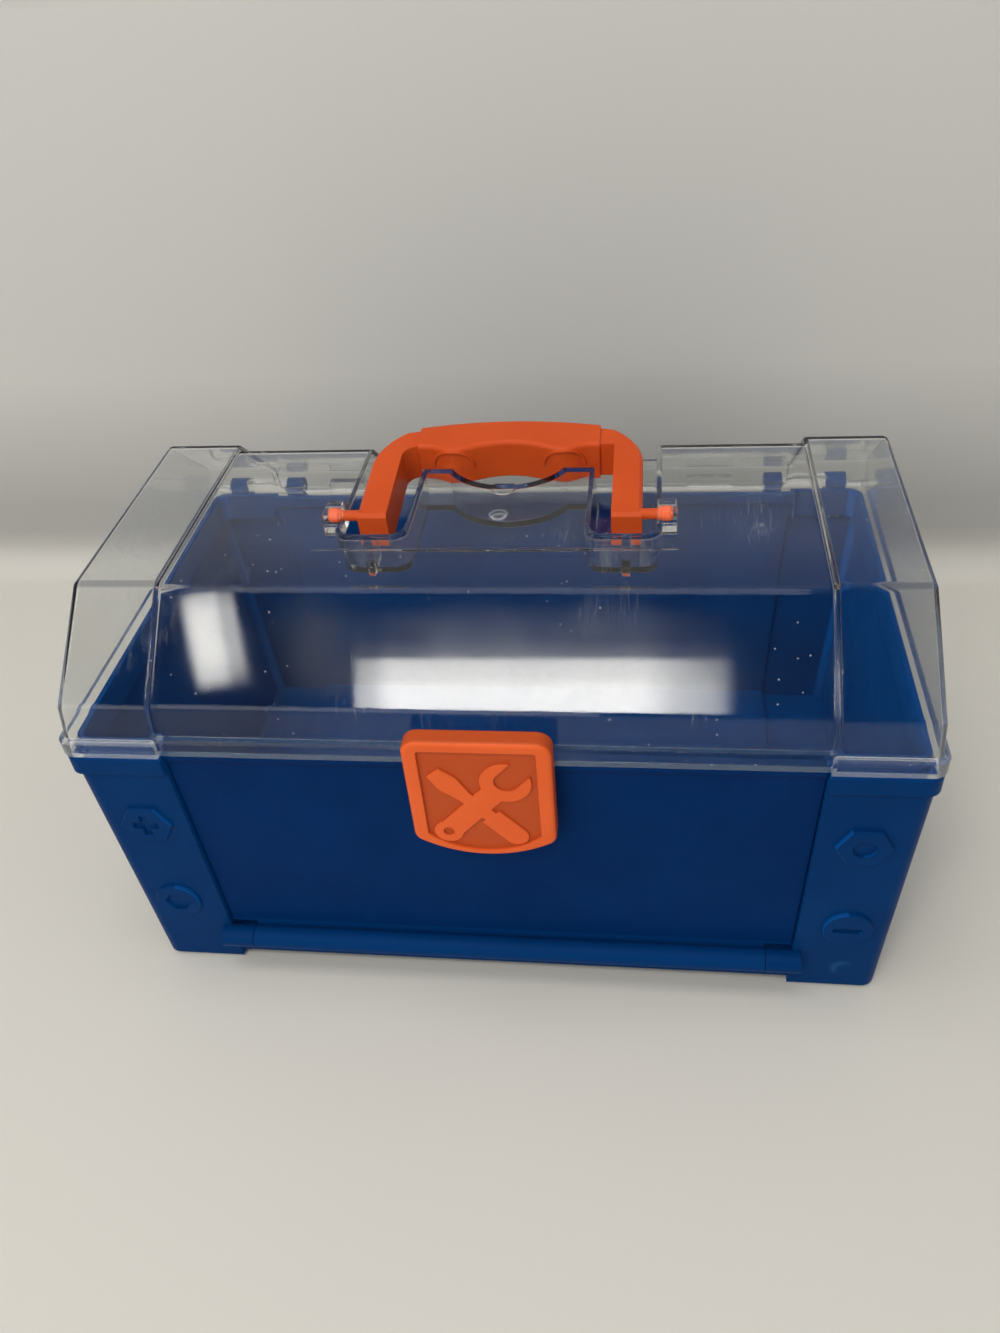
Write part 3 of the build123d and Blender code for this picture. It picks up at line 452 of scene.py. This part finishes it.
def dress_pieces():
    """Give every CAD node the material of its slot."""
    materials = {
        "tub_blue": plastic(
            "tub_plastic", TUB_BLUE, TUB_SHADE, roughness=0.34, shine=0.032,
            grain=2600, grain_depth=0.00005, tint=tub_tint,
        ),
        "panel_blue": plastic(
            "panel_plastic", PANEL_BLUE, PANEL_SHADE, roughness=0.44, shine=0.028,
            grain=2200, grain_depth=0.00012, tint=panel_tint,
        ),
        "clear_lid": clear_plastic("lid_plastic"),
        # The handle's orange is a darker copy of the latch's orange, painted shade
        "orange": plastic(
            "handle_plastic_painted_shade", HANDLE_ORANGE_PAINTED_SHADE, HANDLE_CLOUD_ORANGE_PAINTED_SHADE, roughness=0.40, shine=0.16,
            grain=2400, grain_depth=0.00006,
        ),
        "pin_steel": steel("pin_wire"),
    }
    latch_plastic = plastic(
        "latch_plastic", LATCH_ORANGE, LATCH_SHADE, roughness=0.40, shine=0.16,
        grain=2400, grain_depth=0.00006, tint=latch_tint,
    )
    slots = {item["node"]: item["material_slot"] for item in frame["record"]["subparts"]}
    for name, node in frame["nodes"].items():
        for slot in node.material_slots:
            slot.material = latch_plastic if name == "latch" else materials[slots[name]]


def lay_floor():
    """A pale floor that bends up into a wall behind the box, and a plain floor beyond the wall."""
    profile = [(SWEEP_FRONT, 0.0)]
    for step in range(BEND_STEPS + 1):
        angle = math.pi / 2 * step / BEND_STEPS
        profile.append(
            (SWEEP_BEND + SWEEP_RADIUS * math.sin(angle), SWEEP_RADIUS * (1 - math.cos(angle)))
        )
    profile.append((SWEEP_BEND + SWEEP_RADIUS, SWEEP_TOP))
    points = [(side * SWEEP_SIDE, y, z) for y, z in profile for side in (-1, 1)]
    faces = [(2 * row, 2 * row + 1, 2 * row + 3, 2 * row + 2) for row in range(len(profile) - 1)]
    beyond = len(points)
    points += [(side * SWEEP_SIDE, y, -BEYOND_SINK) for y in (0.0, BEYOND_BACK) for side in (-1, 1)]
    faces.append((beyond, beyond + 1, beyond + 3, beyond + 2))
    mesh = bpy.data.meshes.new("floor_sweep")
    mesh.from_pydata(points, [], faces)
    for face in mesh.polygons:
        face.use_smooth = True
    mesh.materials.append(paper("floor_paper"))
    sweep = bpy.data.objects.new("floor_sweep", mesh)
    bpy.context.collection.objects.link(sweep)


def light_room():
    """Even light from all around, but little from the dark side."""
    world = bpy.data.worlds.new("room")
    bpy.context.scene.world = world
    world.use_nodes = True
    room = Nodes(world.node_tree)
    direction = room.node("ShaderNodeTexCoord").outputs["Generated"]
    facing = room.vectors("DOT_PRODUCT", direction, Vector(DARK_SIDE).normalized())["Value"]
    background = room.tree.nodes["Background"]
    room.fill(background.inputs["Color"], ROOM_COLOUR)
    room.fill(
        background.inputs["Strength"],
        room.spread(facing, DARK_STARTS, DARK_FULL, ROOM_LIGHT, DARK_LIGHT),
    )


def lamp(name, place, target, size, power, side=(1, 0, 0), colour=(1, 1, 1)):
    """A rectangular lamp that shines at target and whose width runs along side."""
    data = bpy.data.lights.new(name, "AREA")
    data.shape = "RECTANGLE"
    data.size, data.size_y = size
    data.energy = power
    data.color = colour
    made = bpy.data.objects.new(name, data)
    bpy.context.collection.objects.link(made)
    back = (Vector(place) - Vector(target)).normalized()
    along = (Vector(side) - back * back.dot(Vector(side))).normalized()
    axes = Matrix((along, back.cross(along), back)).transposed()
    made.matrix_world = Matrix.Translation(place) @ axes.to_4x4()
    return data


def grey(value):
    """An opaque grey."""
    return (value, value, value, 1)


def window(name, across, upward, **placing):
    """A lamp that the lid mirrors as a window.

    across and upward are stops (where, brightness) along its width and its height.
    """
    data = lamp(name, colour=WINDOW_COLOUR, **placing)
    data.use_nodes = True
    pane = Nodes(data.node_tree)
    place = pane.node("ShaderNodeNewGeometry").outputs["Parametric"]
    parts = pane.node("ShaderNodeSeparateXYZ", {0: place})
    shades = []
    for axis, (first, *middle, last) in enumerate((across, upward)):
        shade = pane.node("ShaderNodeValToRGB", {0: parts.outputs[axis]})
        stops = shade.color_ramp.elements
        stops[0].position, stops[-1].position = first[0], last[0]
        stops[0].color, stops[-1].color = grey(first[1]), grey(last[1])
        for where, brightness in middle:
            stops.new(where).color = grey(brightness)
        shades.append(shade.outputs[0])
    glow = next(node for node in pane.tree.nodes if node.type == "EMISSION")
    pane.fill(glow.inputs["Strength"], pane.maths("MULTIPLY", *shades))


set_camera()
bpy.context.scene.view_settings.view_transform = "Standard"
bpy.context.scene.cycles.max_bounces = MOST_BOUNCES
bpy.context.scene.cycles.transmission_bounces = MOST_BOUNCES
bpy.context.scene.cycles.transparent_max_bounces = MOST_BOUNCES
dress_pieces()
lay_floor()
light_room()
lamp("front_lamp", place=(-0.6, -1.5, 1.0), target=(0, 0, 0.08), size=(1.2, 0.9), power=7.5)
lamp("top_lamp", place=(-0.25, -0.15, 2.0), target=(0, 0.05, 0), size=(1.3, 0.9), power=9.5)
window(
    "window_wide",
    across=(
        (0.0, 0.0), (0.02, 0.35), (0.06, 0.5), (0.10, 1.0),
        (0.76, 1.0), (0.84, 0.5), (0.96, 0.22), (1.0, 0.0),
    ),
    upward=((0.0, 1.0), (0.28, 1.0), (0.34, 0.75), (0.49, 0.6), (0.55, 0.09), (0.70, 0.025), (1.0, 0.003)),
    place=(-0.116, -0.840, 1.419), target=(0.022, -0.077, 0.165),
    size=(0.667, 0.191), power=15.5, side=(0.665, -0.019, 0.047),
)
window(
    "window_side",
    across=((0.0, 0.0), (0.12, 0.8), (0.25, 1.0), (0.60, 0.9), (0.70, 0.4), (0.92, 0.35), (1.0, 0.0)),
    upward=((0.0, 0.0), (0.15, 0.6), (0.35, 1.0), (0.80, 0.9), (1.0, 0.4)),
    place=(-0.673, -0.774, 1.362), target=(-0.100, -0.072, 0.168),
    size=(0.095, 0.170), power=1.7, side=(0.905, -0.031, 0.42),
)
